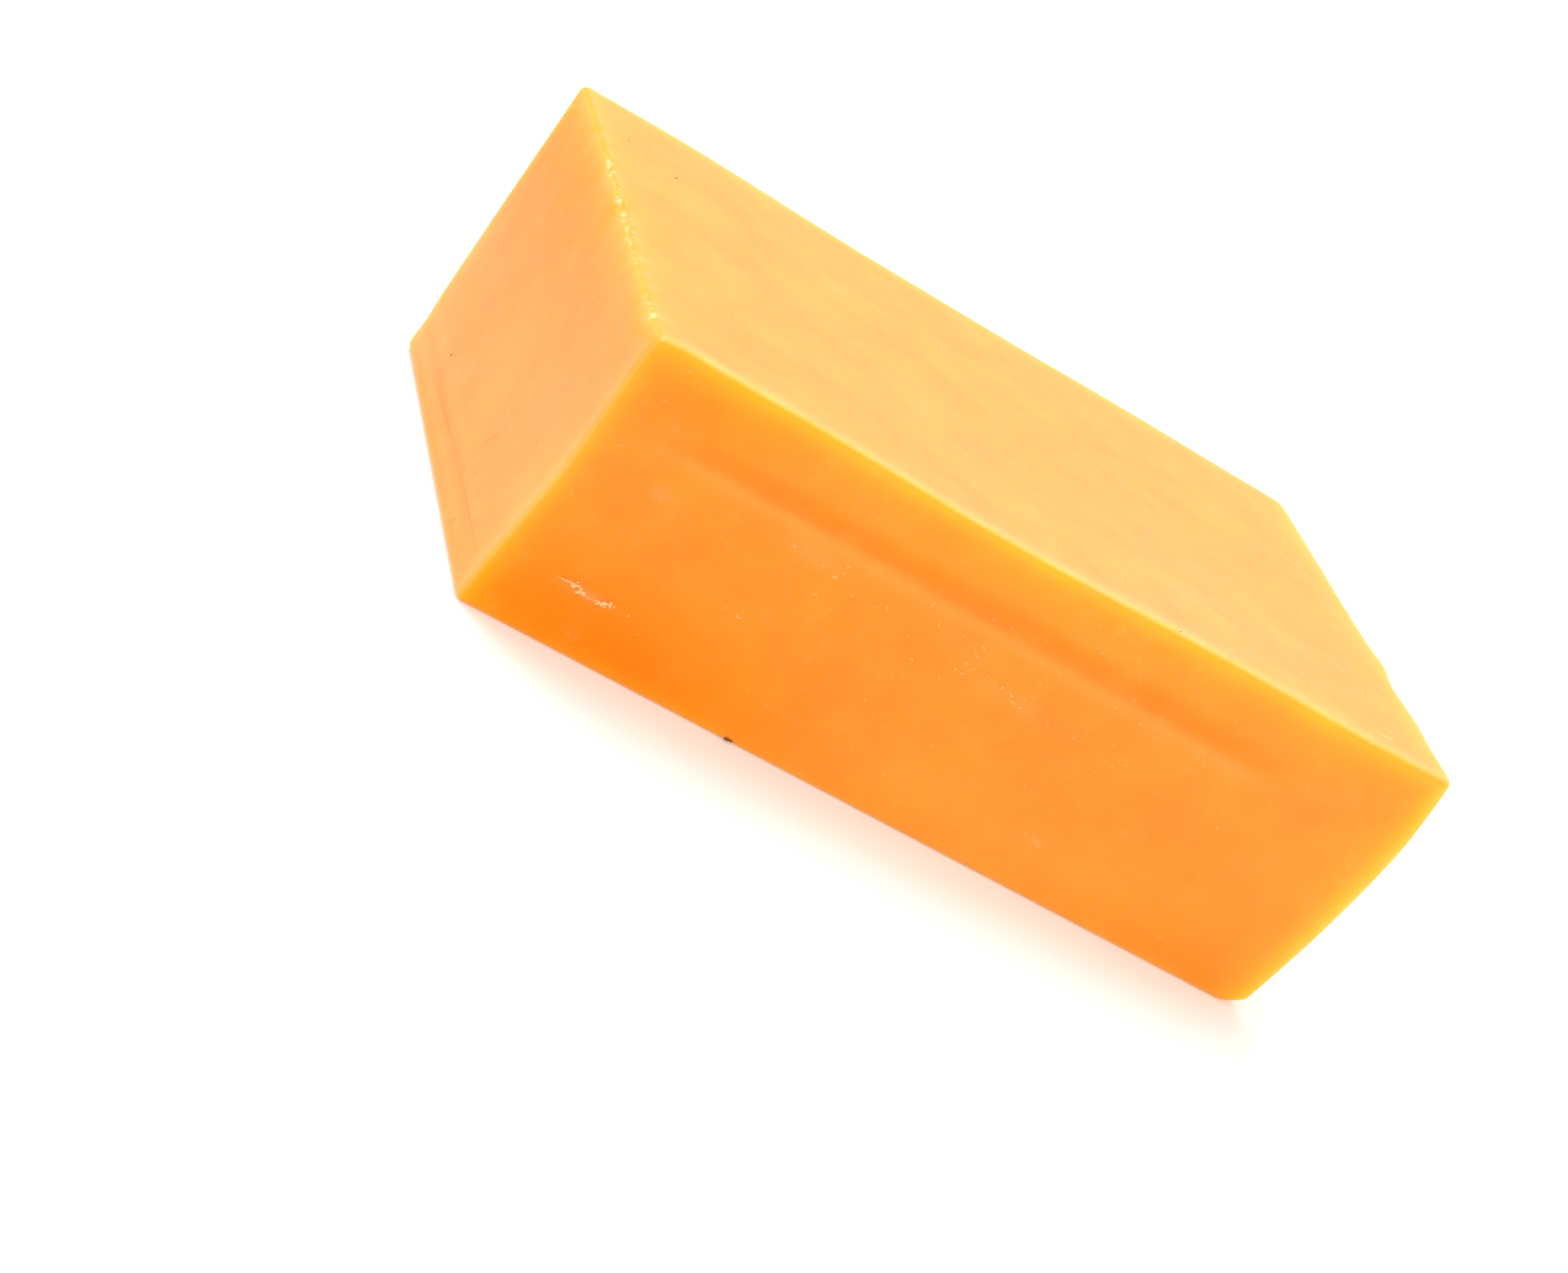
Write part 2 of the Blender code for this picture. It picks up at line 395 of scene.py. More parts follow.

# Painted shade: the crease is painted deep in colour, and its lower lip paler as a painted
# highlight. The upper parts of the two ends are painted deeper as painted shade too, and more
# so towards the back.
CREASE_SHADE_LINE_MM = (27.7, 1.5, 0.63)
LIP_HIGHLIGHT_LINE_MM = (25.3, 0.8, 0.07)
CREASE_SEEN = (0.002, 0.088)
END_DEEPER = (0.40, 0.60)
END_DEEPER_UP = (0.004, 0.030)
END_DEEPER_ACROSS = (0.012, 0.048)

# Broad soft patches of the faces in millimetres: (face, middle, reach each way, strength).
# Some are painted deeper as painted shade, one is painted yellower as painted glow where light
# shows through, and some are painted paler as painted light. Their middles are places on the
# sharp box, before its edges are rounded and its front side leans.
DEEPER_SHADE_PATCHES_MM = (
    ("front", (14.0, 0.0, 6.0), (20.0, 9.0, 14.0), 0.24),
    ("front", (8.0, 0.0, 32.0), (9.0, 9.0, 6.0), 0.385),
    ("front", (22.0, 0.0, 19.0), (11.0, 9.0, 7.0), 0.197),
    ("front", (92.0, 0.0, 33.0), (7.0, 9.0, 4.0), 0.103),
    ("front", (50.0, 0.0, 31.0), (60.0, 9.0, 2.6), 0.077),
    ("top", (0.0, 28.0, 35.8), (8.0, 50.0, 9.0), 0.16),
    ("left", (0.0, 48.0, 13.0), (9.0, 14.0, 9.0), 0.34),
)
# Painted glow: the lower front is painted yellower, as painted light
PAINTED_GLOW_PATCH_MM = ("front", (62.0, 0.0, 4.0), (26.0, 9.0, 7.0), 0.12)
LIGHTER_PATCHES_MM = (
    ("front", (62.0, 0.0, 4.0), (26.0, 9.0, 7.0), 0.05),
    ("top", (66.0, 8.0, 35.8), (28.0, 16.0, 9.0), 0.045),
    ("left", (0.0, 8.0, 14.0), (9.0, 14.0, 12.0), 0.05),
)

away = {
    "left": places[:, 0],
    "right": LENGTH - places[:, 0],
    "front": places[:, 1],
    "back": BASE_WIDTH - places[:, 1],
    "bottom": places[:, 2],
    "top": THICKNESS - places[:, 2],
}
on_face = {face: 1.0 - ramp(distance, 0.0, EDGE_RADIUS) for face, distance in away.items()}
along_mm = places[:, 0] * 1000
up_mm = places[:, 2] * 1000


def noise_share(size):
    """Noise from about 0 to 1 at each point, with grains of that size."""
    return 0.5 + 0.5 * grain(places, (size,) * 3)


def broken(grains, share):
    """1 where the noise of the grains is high, and less by that share where it is low."""
    return 1.0 - share + share * grains


def beside(bands, other, start=0.0, fall=1):
    """At each point the strongest of the bands that lie beside the edges; other is the rest's."""
    strongest = np.zeros(len(places))
    for face, here in on_face.items():
        for edge, distance in away.items():
            if edge != face:
                strength, reach = bands.get((face, edge), other)
                band = here**fall * strength * np.exp(-np.abs(distance - start) / reach)
                strongest = np.maximum(strongest, band)
    return strongest


def front_spot(middle_along, middle_up, reach_along, reach_up, strength):
    """A soft spot on the front side, with its sizes in millimetres."""
    spot = hump(along_mm - middle_along, reach_along) * hump(up_mm - middle_up, reach_up)
    return strength * spot * on_face["front"]


def patch(face, middle, reach, strength):
    """A broad soft patch on one face, with its sizes in millimetres."""
    distance = np.linalg.norm((places * 1000 - middle) / reach, axis=1)
    return strength * hump(distance, 1.0) * on_face[face]


def front_line(line_up, reach, strength):
    """A soft line along the front side's crease, with its sizes in millimetres."""
    start, end = CREASE_SEEN
    seen = ramp(places[:, 0], start, start + CREASE_FADE)
    seen *= 1.0 - ramp(places[:, 0], end - CREASE_FADE, end)
    return strength * hump(up_mm - line_up, reach) * seen * on_face["front"]


# Torn curd on the crumbled edge has dried in flat clumps, where across counts after the
# lean: (across, reach, strength)
CLUMPS_MM = (
    (39.6, 1.3, 0.7), (36.8, 1.2, 0.5), (34.0, 0.8, 0.3), (29.6, 1.6, 0.4), (26.6, 1.2, 0.5),
    (23.0, 1.8, 0.35), (18.5, 1.6, 0.3), (11.5, 1.6, 0.25), (3.5, 1.5, 0.25), (-0.6, 1.2, 0.6),
)
CLUMP_REACH = 0.0007
# Between the clumps the edge is worn in a thin broken line, up to these places across
WORN_LINE = 0.21
WORN_LINE_ACROSS = (0.036, 0.048)
across_mm = leaned(places[:, 1], places[:, 2]) * 1000
clumped = np.zeros(len(places))
for middle, reach, strength in CLUMPS_MM:
    clumped = np.maximum(clumped, strength * hump(across_mm - middle, reach))
clumped = np.maximum(clumped, WORN_LINE * (1.0 - ramp(places[:, 1], *WORN_LINE_ACROSS)))
clumped *= hump(np.hypot(away["left"], away["top"]), CLUMP_REACH)

# Painted light: the glow mixes yellow into the colour beside the edges and over the lower front
glow = beside(PAINTED_GLOW_BANDS, OTHER_GLOW) * broken(noise_share(GLOW_GRAIN), GLOW_UNEVEN)
glow = np.maximum(glow, patch(*PAINTED_GLOW_PATCH_MM))
uneven = noise_share(FINE_GRAIN)
patchy = noise_share(PATCH_GRAIN)
by_fine, by_patch = PALE_RIM_UNEVEN
# Cream mixed into the colour: pale rims, partly dried and partly painted highlight, rubbed spots,
# the crease lip's painted highlight, and lighter patches and fold strips of painted light
dried_and_highlight = beside(PALE_RIM_BANDS, OTHER_PALE_RIM, PALE_RIM_START, PALE_RIM_FALL)
dried_and_highlight *= 1.0 - by_fine - by_patch + by_fine * uneven + by_patch * patchy
for spot in RUBBED_SPOTS_MM:
    dried_and_highlight = np.maximum(dried_and_highlight, front_spot(*spot) * broken(uneven, RUBBED_UNEVEN))
dried_and_highlight = np.maximum(dried_and_highlight, front_line(*LIP_HIGHLIGHT_LINE_MM) * broken(uneven, LIP_HIGHLIGHT_UNEVEN))
for pale in LIGHTER_PATCHES_MM:
    dried_and_highlight = dried_and_highlight + patch(*pale)
# Painted shade: the crease, the deeper patches and the ends' upper parts are painted deeper
deeper_shade = front_line(*CREASE_SHADE_LINE_MM) * broken(patchy, CREASE_SHADE_UNEVEN)
for soft in DEEPER_SHADE_PATCHES_MM:
    deeper_shade = np.maximum(deeper_shade, patch(*soft))
at_front, at_back = END_DEEPER
deeper = at_front + (at_back - at_front) * ramp(places[:, 1], *END_DEEPER_ACROSS)
deeper *= ramp(places[:, 2], *END_DEEPER_UP)
deeper_shade = np.maximum(deeper_shade, deeper * np.maximum(on_face["left"], on_face["right"]))

# Painted highlight: a paler strip is painted on each side of the fold on the left end
FOLD_HIGHLIGHT_STRIPS_MM = ((5.8, 1.2, 0.04), (2.6, 1.0, 0.09))
FOLD_HIGHLIGHT_ACROSS = (0.004, 0.012)
for line_up, reach, strength in FOLD_HIGHLIGHT_STRIPS_MM:
    strip = strength * hump(up_mm - line_up, reach) * on_face["left"]
    dried_and_highlight = np.maximum(dried_and_highlight, strip * ramp(places[:, 1], *FOLD_HIGHLIGHT_ACROSS))


def paint(mesh, name, values):
    """Stores one number at each point of the mesh, which a material reads by that name."""
    mesh.attributes.new(name, "FLOAT", "POINT").data.foreach_set("value", values)


# Where the colour is painted deeper as painted shade, on rounded edges, on the lower front and on
# the top of the left end, the surface is rough on a scale too fine to draw, so it shines less
DEEPER_SHADE_DULL = 0.9
GLOW_DULL = 0.5
LOW_FRONT_DULL = (0.5, 0.1)
LOW_FRONT_UP = (0.0, 0.016)
LOW_FRONT_ALONG = (0.026, 0.046)
END_TOP_DULL = 0.15
END_TOP_UP = (0.022, 0.032)
two_nearest = np.sort(np.stack(list(away.values())), axis=0)[:2]
paint(block_mesh, "thin_edge", hump(two_nearest.sum(axis=0), THIN_EDGE_REACH))
paint(block_mesh, "painted_edge_glow", glow)
paint(block_mesh, "dried_highlight", dried_and_highlight)
paint(block_mesh, "clumped", clumped)
paint(block_mesh, "deeper_shade", deeper_shade)
dull = DEEPER_SHADE_DULL * deeper_shade + GLOW_DULL * glow
low_front = on_face["front"] * (1.0 - ramp(places[:, 2], *LOW_FRONT_UP))
dull_left, dull_right = LOW_FRONT_DULL
low_front *= dull_left + (dull_right - dull_left) * ramp(places[:, 0], *LOW_FRONT_ALONG)
dull += low_front
dull += END_TOP_DULL * ramp(places[:, 2], *END_TOP_UP) * on_face["left"]
paint(block_mesh, "dull", np.clip(dull, 0.0, 1.0))
paint(block_mesh, "cut_end", hump(np.minimum(away["left"], away["right"]), FACE_SKIN))


def linear(hex_colour):
    """An sRGB hex colour as the linear RGBA that a shader takes."""
    shares = [int(hex_colour[i : i + 2], 16) / 255 for i in (1, 3, 5)]
    return [s / 12.92 if s <= 0.04045 else ((s + 0.055) / 1.055) ** 2.4 for s in shares] + [1.0]


def on_front(along, up):
    """A place in millimetres on the front side."""
    return (along, -FRONT_LEAN / THICKNESS * up, up)


def on_left(across, up):
    """A place in millimetres on the left end."""
    return (0.0, across, up)


def on_top(along, across):
    """A place in millimetres on the top face."""
    return (along, across, 1000 * THICKNESS)


def add_node(tree, kind, settings=None, links=None):
    """Adds a node with its settings and links; a socket is given by its name or its number."""
    node = tree.nodes.new(kind)
    for name, value in (settings or {}).items():
        if isinstance(name, str) and hasattr(node, name):
            setattr(node, name, value)
        else:
            node.inputs[name].default_value = value
    for name, source in (links or {}).items():
        tree.links.new(source, node.inputs[name])
    return node


# Annatto-coloured firm cheese, cut and bare: a smooth, slightly oily face over a body that
# light enters and leaves again some millimetres away, which turns thin edges yellow.
# Mottles of the pressed curd are 3 mm, in clouds of 9 mm, and the cut's streaks are 3 mm wide.
# Pores and grains of dried fat are finer than 0.1 mm, and are drawn at 0.4 mm so that they show.
# Each pair with NOISE in its name is the noise at which a pattern begins and is complete.
BODY_DEEP = "#F78B00"
BODY_LIGHT = "#F89403"
# The deeper orange of the painted shade
BODY_DEEPER_SHADE = "#F57A00"
# The yellow of the painted glow, painted light where light shows through thin cheese
PAINTED_GLOW_YELLOW = "#FFC818"
# Cream of dried fat and curd, also mixed in as painted highlight
DRIED_AND_HIGHLIGHT_CREAM = "#FFE3AC"
CLOUD_SIZE = 0.009
CURD_SIZE = 0.0030
CURD_SHARE = 0.2
BODY_NOISE = (0.40, 0.80)
PORE_SIZE = 0.0004
STREAK_WIDTH = 0.0030
STREAK_LENGTH = 0.0200
STREAK_SHARE = 0.5
VEIL_SIZE = 0.0045
VEIL_NOISE = (0.50, 0.75)
VEIL_STRENGTH = 0.012
DUST_SIZE = 0.00045
DUST_NOISE = (0.58, 0.74)
DUST_VEIL_NOISE = (0.48, 0.62)
DUST_STRENGTH = 0.08
BUMP_HEIGHT = 0.00002
GLOSS_NOISE = (0.30, 0.70)
ROUGHNESS = (0.40, 0.46)
EDGE_DULLNESS = 0.85
FULL_SHINE = 0.5
CHEESE_IOR = 1.42
LIGHT_REACH = 0.007
REACH_BY_COLOUR = (1.0, 1.0, 0.3)

cheese = bpy.data.materials.new("annatto_cheese")
cheese.use_nodes = True
tree = cheese.node_tree
place = add_node(tree, "ShaderNodeTexCoord").outputs["Object"]
clouds = add_node(
    tree, "ShaderNodeTexNoise", {"Scale": 1 / CLOUD_SIZE, "Detail": 2.0}, {"Vector": place}
)
curds = add_node(
    tree, "ShaderNodeTexNoise", {"Scale": 1 / CURD_SIZE, "Detail": 3.0}, {"Vector": place}
)
mottled = add_node(
    tree,
    "ShaderNodeMath",
    {"operation": "MULTIPLY_ADD", 1: CURD_SHARE},
    {0: curds.outputs["Fac"], 2: clouds.outputs["Fac"]},
)
share = add_node(
    tree,
    "ShaderNodeMapRange",
    {"From Min": BODY_NOISE[0], "From Max": BODY_NOISE[1]},
    {"Value": mottled.outputs["Value"]},
)
body = add_node(
    tree,
    "ShaderNodeMixRGB",
    {"Color1": linear(BODY_DEEP), "Color2": linear(BODY_LIGHT)},
    {"Fac": share.outputs["Result"]},
)
# Painted shade: the colour is painted deeper where this mask is high
deeper_shade_share = add_node(tree, "ShaderNodeAttribute", {"attribute_name": "deeper_shade"})
deepened = add_node(
    tree,
    "ShaderNodeMixRGB",
    {"Color2": linear(BODY_DEEPER_SHADE)},
    {"Fac": deeper_shade_share.outputs["Fac"], "Color1": body.outputs["Color"]},
)
# A thin uneven veil of dried fat, with fine grains of curd where it is thickest
veil_noise = add_node(
    tree,
    "ShaderNodeTexNoise",
    {"Scale": 1 / VEIL_SIZE, "Detail": 5.0, "Roughness": 0.65},
    {"Vector": place},
)
veil = add_node(
    tree,
    "ShaderNodeMapRange",
    {"From Min": VEIL_NOISE[0], "From Max": VEIL_NOISE[1], "To Max": VEIL_STRENGTH},
    {"Value": veil_noise.outputs["Fac"]},
)
veiled = add_node(
    tree,
    "ShaderNodeMixRGB",
    {"Color2": linear(DRIED_AND_HIGHLIGHT_CREAM)},
    {"Fac": veil.outputs["Result"], "Color1": deepened.outputs["Color"]},
)
dust_noise = add_node(
    tree, "ShaderNodeTexNoise", {"Scale": 1 / DUST_SIZE, "Detail": 1.0}, {"Vector": place}
)
dust_grains = add_node(
    tree,
    "ShaderNodeMapRange",
    {"From Min": DUST_NOISE[0], "From Max": DUST_NOISE[1], "To Max": DUST_STRENGTH},
    {"Value": dust_noise.outputs["Fac"]},
)
dusty = add_node(
    tree,
    "ShaderNodeMapRange",
    {"From Min": DUST_VEIL_NOISE[0], "From Max": DUST_VEIL_NOISE[1]},
    {"Value": veil_noise.outputs["Fac"]},
)
dust_there = add_node(
    tree,
    "ShaderNodeMath",
    {"operation": "MULTIPLY"},
    {0: dust_grains.outputs["Result"], 1: dusty.outputs["Result"]},
)
dusted = add_node(
    tree,
    "ShaderNodeMixRGB",
    {"Color2": linear(DRIED_AND_HIGHLIGHT_CREAM)},
    {"Fac": dust_there.outputs["Value"], "Color1": veiled.outputs["Color"]},
)
# Painted light: yellow is mixed into the colour where the glow is painted
painted_edge_glow = add_node(tree, "ShaderNodeAttribute", {"attribute_name": "painted_edge_glow"})
glowing = add_node(
    tree,
    "ShaderNodeMixRGB",
    {"Color2": linear(PAINTED_GLOW_YELLOW)},
    {"Fac": painted_edge_glow.outputs["Fac"], "Color1": dusted.outputs["Color"]},
)
# Cream is mixed in for dried rims and wear, and as painted highlight and painted light
dried_highlight = add_node(tree, "ShaderNodeAttribute", {"attribute_name": "dried_highlight"})
colour = add_node(
    tree,
    "ShaderNodeMixRGB",
    {"Color2": linear(DRIED_AND_HIGHLIGHT_CREAM)},
    {"Fac": dried_highlight.outputs["Fac"], "Color1": glowing.outputs["Color"]},
)

# The clumps of torn curd have ragged outlines
CLUMP_GRAIN = (0.0005, 0.0011, 0.0005)
CLUMP_RAGGEDNESS = 1.2
CLUMP_NOISE = (0.84, 1.14)
CLUMP_PALENESS = 0.5
clump_space = add_node(
    tree,
    "ShaderNodeMapping",
    {"Scale": [1 / size for size in CLUMP_GRAIN]},
    {"Vector": place},
)
clump_noise = add_node(
    tree,
    "ShaderNodeTexNoise",
    {"Scale": 1.0, "Detail": 2.0},
    {"Vector": clump_space.outputs["Vector"]},
)
clump_place = add_node(tree, "ShaderNodeAttribute", {"attribute_name": "clumped"})
ragged = add_node(
    tree,
    "ShaderNodeMath",
    {"operation": "MULTIPLY_ADD", 1: CLUMP_RAGGEDNESS},
    {0: clump_noise.outputs["Fac"], 2: clump_place.outputs["Fac"]},
)
clump_share = add_node(
    tree,
    "ShaderNodeMapRange",
    {"From Min": CLUMP_NOISE[0], "From Max": CLUMP_NOISE[1], "To Max": CLUMP_PALENESS},
    {"Value": ragged.outputs["Value"]},
)
colour = add_node(
    tree,
    "ShaderNodeMixRGB",
    {"Color2": linear(DRIED_AND_HIGHLIGHT_CREAM)},
    {"Fac": clump_share.outputs["Result"], "Color1": colour.outputs["Color"]},
)

# Single marks: hairlines that a crumb under the wire tore into the left end, and pale scrapes
# on the top face. Each is a long thin ellipsoid in the surface, given in millimetres as
# (start, end, half width, strength).
HAIRLINE = linear("#B84C00")
HAIRLINES_MM = (
    (on_left(21.0, 6.9), on_left(17.2, 12.3), 0.11, 0.90),
    (on_left(22.0, 11.3), on_left(20.8, 15.3), 0.11, 0.60),
    (on_left(18.0, 13.3), on_left(17.1, 15.0), 0.11, 0.60),
    (on_left(25.3, 11.8), on_left(24.4, 13.2), 0.11, 0.60),
    (on_left(21.0, 5.6), on_left(22.1, 4.8), 0.11, 0.80),
    (on_left(12.6, 6.1), on_left(13.2, 7.2), 0.11, 0.80),
    (on_left(7.3, 21.3), on_left(6.9, 23.4), 0.11, 0.50),
    (on_left(15.5, 0.8), on_left(13.4, 3.0), 0.11, 0.80),
    (on_left(49.0, 3.3), on_left(24.0, 4.2), 0.22, 0.40),
    (on_left(26.0, 4.15), on_left(0.0, 4.65), 0.22, 0.40),
)
SCRAPES_MM = (
    (on_top(88.8, -3.2), on_top(93.5, -2.2), 0.12, 0.90),
    (on_top(77.0, 14.9), on_top(86.0, 7.3), 0.35, 0.14),
    (on_top(86.0, 13.0), on_top(95.0, 9.4), 0.40, 0.12),
    (on_top(91.0, 41.7), on_top(97.0, 36.9), 0.60, 0.12),
    (on_top(94.0, 25.3), on_top(99.5, 19.5), 0.40, 0.12),
    (on_top(60.0, 8.0), on_top(78.0, 3.5), 0.50, 0.08),
)
MARK_DEPTH_MM = 2.0


def marked(base, marks, mark_colour, upright):
    """The base colour with single marks over it; upright is the axis that stands most upright
    when the mark's X runs along it and its Z faces out of the surface."""
    for start, end, half_width, strength in marks:
        ends = [on_frame(np.array(place_mm) / 1000) for place_mm in (start, end)]
        run = Vector(ends[1] - ends[0])
        spot = add_node(
            tree,
            "ShaderNodeMapping",
            {
                "vector_type": "TEXTURE",
                "Location": (ends[0] + ends[1]) / 2,
                "Rotation": run.to_track_quat("X", upright).to_euler(),
                "Scale": (run.length / 2, half_width / 1000, MARK_DEPTH_MM / 1000),
            },
            {"Vector": place},
        )
        reach = add_node(
            tree, "ShaderNodeVectorMath", {"operation": "LENGTH"}, {0: spot.outputs["Vector"]}
        )
        fade = add_node(
            tree,
            "ShaderNodeMapRange",
            {"From Min": 1.0, "From Max": 0.0, "To Max": strength},
            {"Value": reach.outputs["Value"]},
        )
        base = add_node(
            tree,
            "ShaderNodeMixRGB",
            {"Color2": mark_colour},
            {"Fac": fade.outputs["Result"], "Color1": base.outputs["Color"]},
        )
    return base


colour = marked(colour, HAIRLINES_MM, HAIRLINE, "Y")
colour = marked(colour, SCRAPES_MM, linear(DRIED_AND_HIGHLIGHT_CREAM), "Z")

# Streaks of the cut run up the two ends: noise drawn long in the thickness direction
stretched = add_node(
    tree,
    "ShaderNodeMapping",
    {"Scale": (1 / STREAK_LENGTH, 1 / STREAK_WIDTH, 1 / STREAK_LENGTH)},
    {"Vector": place},
)
streaks = add_node(
    tree,
    "ShaderNodeTexNoise",
    {"Scale": 1.0, "Detail": 1.0},
    {"Vector": stretched.outputs["Vector"]},
)
cut_end = add_node(tree, "ShaderNodeAttribute", {"attribute_name": "cut_end"})
streaks_there = add_node(
    tree,
    "ShaderNodeMath",
    {"operation": "MULTIPLY"},
    {0: streaks.outputs["Fac"], 1: cut_end.outputs["Fac"]},
)
softened = add_node(
    tree,
    "ShaderNodeMath",
    {"operation": "MULTIPLY", 1: STREAK_SHARE},
    {0: streaks_there.outputs["Value"]},
)
pores = add_node(
    tree, "ShaderNodeTexNoise", {"Scale": 1 / PORE_SIZE, "Detail": 3.0}, {"Vector": place}
)
height = add_node(
    tree,
    "ShaderNodeMath",
    {"operation": "ADD"},
    {0: pores.outputs["Fac"], 1: softened.outputs["Value"]},
)
bump = add_node(
    tree,
    "ShaderNodeBump",
    {"Strength": 1.0, "Distance": BUMP_HEIGHT},
    {"Height": height.outputs["Value"]},
)
gloss = add_node(
    tree,
    "ShaderNodeMapRange",
    {
        "From Min": GLOSS_NOISE[0],
        "From Max": GLOSS_NOISE[1],
        "To Min": ROUGHNESS[0],
        "To Max": ROUGHNESS[1],
    },
    {"Value": curds.outputs["Fac"]},
)
# The dried skin at the very edge lets less light in
thin_edge = add_node(tree, "ShaderNodeAttribute", {"attribute_name": "thin_edge"})
clearness = add_node(
    tree,
    "ShaderNodeMath",
    {"operation": "MULTIPLY_ADD", 1: -EDGE_DULLNESS, 2: 1.0},
    {0: thin_edge.outputs["Fac"]},
)
dull = add_node(tree, "ShaderNodeAttribute", {"attribute_name": "dull"})
shine = add_node(
    tree,
    "ShaderNodeMath",
    {"operation": "MULTIPLY_ADD", 1: -FULL_SHINE, 2: FULL_SHINE},
    {0: dull.outputs["Fac"]},
)
shader = tree.nodes["Principled BSDF"]
shader.inputs["IOR"].default_value = CHEESE_IOR
tree.links.new(shine.outputs["Value"], shader.inputs["Specular IOR Level"])
shader.inputs["Subsurface Radius"].default_value = REACH_BY_COLOUR
shader.inputs["Subsurface Scale"].default_value = LIGHT_REACH
tree.links.new(clearness.outputs["Value"], shader.inputs["Subsurface Weight"])
tree.links.new(colour.outputs["Color"], shader.inputs["Base Color"])
tree.links.new(gloss.outputs["Result"], shader.inputs["Roughness"])
tree.links.new(bump.outputs["Normal"], shader.inputs["Normal"])
block_mesh.materials.append(cheese)

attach(block, "root")
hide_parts("cheese_block")


# Pale crumbs and flecks: tiny torn bits of the same cheese that dried white. They line the
# crumbled edge and stick to the faces, where the cut and the wrapping rubbed them off.

CRUMB_SEED = 7
CLUMP_SIZES_MM = (0.30, 0.65)
CRUMB_SIZES_MM = (0.08, 0.18)
FLECK_SIZES_MM = (0.07, 0.15)
CHAIN_STEP_MM = 0.11
CLUMP_SUNK = 0.66
CRUMB_SUNK = 0.4
CRUMB_FLATNESS = 0.45
CHAIN_LINKS = (2, 6)
CHAIN_WANDER = 0.7
BIT_WIDTHS = (0.45, 0.90)
BIT_SWELL = 0.7
BIT_WAVES = 2.2
BIT_VARIETY = 9.0

surface = BVHTree.FromPolygons(block_points.tolist(), cells.tolist())

# Single flecks, given one by one, then groups as (middle, spread each way, how many)
SINGLE_FLECKS = [
    on_front(along, up)
    for along, up in (
        (4.3, 34.3), (4.4, 30.0), (3.4, 23.6), (15.6, 7.6), (24.4, 13.4), (17.6, 6.3),
        (33.3, 5.9), (41.2, 12.1), (43.1, 10.7), (35.1, 9.6), (29.3, 19.5), (29.5, 23.5),
        (38.0, 34.0), (39.3, 30.7), (41.8, 23.5), (39.9, 24.8), (48.4, 26.7), (47.2, 23.6),
        (47.4, 22.3), (46.6, 19.7), (47.7, 19.9), (45.9, 18.1), (51.9, 20.4), (53.8, 19.7),
        (55.3, 19.6), (57.0, 18.9), (47.7, 34.1), (52.1, 34.7), (55.5, 34.5), (57.8, 29.2),
        (55.8, 23.1), (62.0, 19.7), (50.5, 11.0), (48.4, 5.3), (61.6, 12.2), (67.6, 6.4),
        (66.6, 24.6), (75.5, 24.1), (68.5, 19.6), (80.4, 28.1), (82.1, 18.3), (74.8, 29.9),
        (83.2, 4.1), (86.3, 3.8),
    )
] + [
    on_left(across, up)
    for across, up in ((37.9, 27.4), (37.5, 27.0), (33.0, 26.7), (27.2, 28.9))
]
CLUMP_GROUPS = (
    ((0.5, 38.4, 35.6), (0.30, 0.8, 0.15), 4),
    ((0.6, 29.0, 35.4), (0.25, 1.2, 0.20), 4),
    ((0.6, 22.5, 35.4), (0.20, 1.4, 0.20), 3),
    ((0.9, -1.2, 35.7), (0.20, 0.4, 0.10), 1),
)
CRUMB_GROUPS = (
    ((0.4, 37.0, 35.6), (0.35, 2.0, 0.25), 5),
    ((0.6, 25.0, 35.5), (0.35, 5.0, 0.25), 9),
    ((0.3, -3.0, 35.5), (0.35, 2.4, 0.30), 3),
    ((0.1, 1.0, 1.6), (0.10, 0.7, 1.4), 6),
)
FLECK_GROUPS = (
    (on_front(54.0, 20.3), (2.2, 0.0, 0.7), 12),
    (on_front(47.0, 22.2), (1.6, 0.0, 1.6), 9),
    (on_front(36.0, 21.0), (4.0, 0.0, 2.0), 6),
    (on_front(30.0, 22.5), (2.5, 0.0, 1.0), 5),
    (on_front(66.0, 20.0), (8.0, 0.0, 5.0), 8),
    (on_front(67.0, 6.8), (0.8, 0.0, 0.2), 5),
)

blob_mesh = bmesh.new()
bmesh.ops.create_icosphere(blob_mesh, subdivisions=2, radius=0.5)
blob_points = np.array([vert.co[:] for vert in blob_mesh.verts])
blob_faces = np.array([[vert.index for vert in face.verts] for face in blob_mesh.faces])
blob_mesh.free()


def scattered(draw, middle, spread):
    """A random place in millimetres about the middle of a group."""
    return tuple(draw.gauss(place, reach) for place, reach in zip(middle, spread))


def chain(draw, start):
    """Places in millimetres along a short wandering line, as a rubbed shred lies."""
    along, across, up = start
    heading = draw.uniform(0.0, 2 * math.pi)
    places_mm = []
    for _ in range(draw.randint(*CHAIN_LINKS)):
        places_mm.append((along, across, up))
        heading += draw.gauss(0.0, CHAIN_WANDER)
        along += CHAIN_STEP_MM * math.cos(heading)
        up += CHAIN_STEP_MM * math.sin(heading)
    return places_mm


